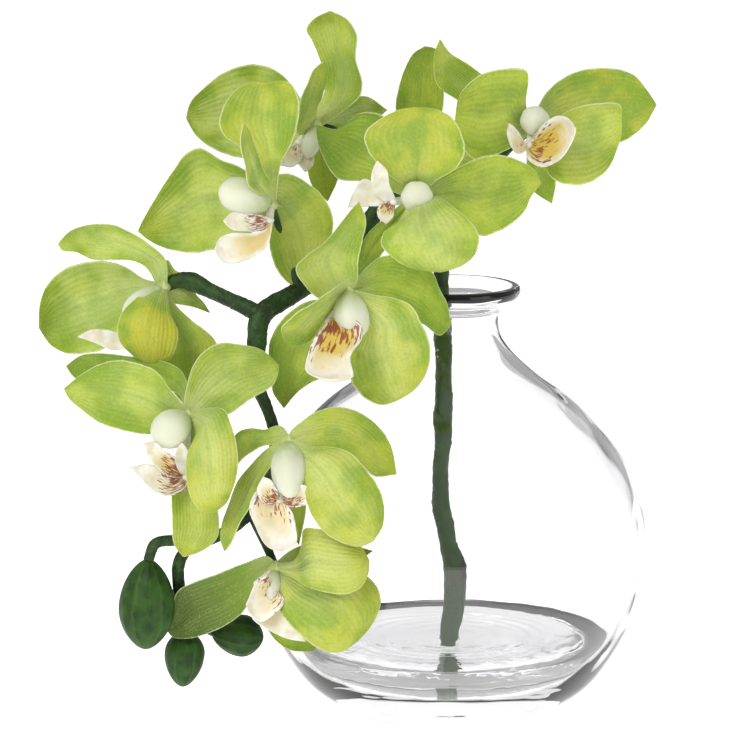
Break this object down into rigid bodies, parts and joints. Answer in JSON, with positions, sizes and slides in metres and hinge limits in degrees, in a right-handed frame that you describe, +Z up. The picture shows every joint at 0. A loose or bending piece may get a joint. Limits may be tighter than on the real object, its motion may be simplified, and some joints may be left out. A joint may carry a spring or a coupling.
{
  "type": "moth orchid stem in vase",
  "caption": "Arching spray of green moth orchid with open blooms and closed buds, standing in a round clear glass vase on a shallow clear pool.",
  "frame": {"origin": "centre of the vase's foot, on the surface that it stands on", "axes": "+Z up along the vase's axis, -X towards the side that the spray leans out to, -Y towards the side that the blooms face"},
  "size_m": [0.2176, 0.1531, 0.2518],
  "materials": {
    "petal": "matte",
    "lip": "matte",
    "column": "satin",
    "stem": "satin",
    "bud": "satin",
    "glass": "clear",
    "water": "clear"
  },
  "bodies": {
    "root": {"bloom_01_column": "column", "bloom_01_lip": "lip", "bloom_01_petal_left": "petal", "bloom_01_petal_right": "petal", "bloom_01_sepals": "petal", "bloom_02_column": "column", "bloom_02_lip": "lip", "bloom_02_petal_left": "petal", "bloom_02_petal_right": "petal", "bloom_02_sepals": "petal", "bloom_03_column": "column", "bloom_03_lip": "lip", "bloom_03_petal_lower": "petal", "bloom_03_petal_upper": "petal", "bloom_03_sepals": "petal", "bloom_04_column": "column", "bloom_04_lip": "lip", "bloom_04_petal_left": "petal", "bloom_04_petal_upper": "petal", "bloom_04_sepals": "petal", "bloom_05_column": "column", "bloom_05_lip": "lip", "bloom_05_petal_left": "petal", "bloom_05_petal_upper": "petal", "bloom_05_sepals": "petal", "bloom_06_column": "column", "bloom_06_lip": "lip", "bloom_06_petal_left": "petal", "bloom_06_petal_right": "petal", "bloom_06_sepals": "petal", "bloom_07_column": "column", "bloom_07_lip": "lip", "bloom_07_petal_front": "petal", "bloom_07_petal_left": "petal", "bloom_07_sepals": "petal", "bloom_08_column": "column", "bloom_08_lip": "lip", "bloom_08_petal_left": "petal", "bloom_08_petal_right": "petal", "bloom_08_sepals": "petal", "bloom_09_column": "column", "bloom_09_lip": "lip", "bloom_09_petal_left": "petal", "bloom_09_petal_right": "petal", "bloom_09_sepals": "petal", "bloom_10_column": "column", "bloom_10_lip": "lip", "bloom_10_petal_lower": "petal", "bloom_10_petal_upper": "petal", "bloom_10_sepals": "petal", "bud_end": "bud", "bud_large": "bud", "bud_small": "bud", "glass_vase": "glass", "stem": "stem", "water": "water"}
  },
  "joints": []
}
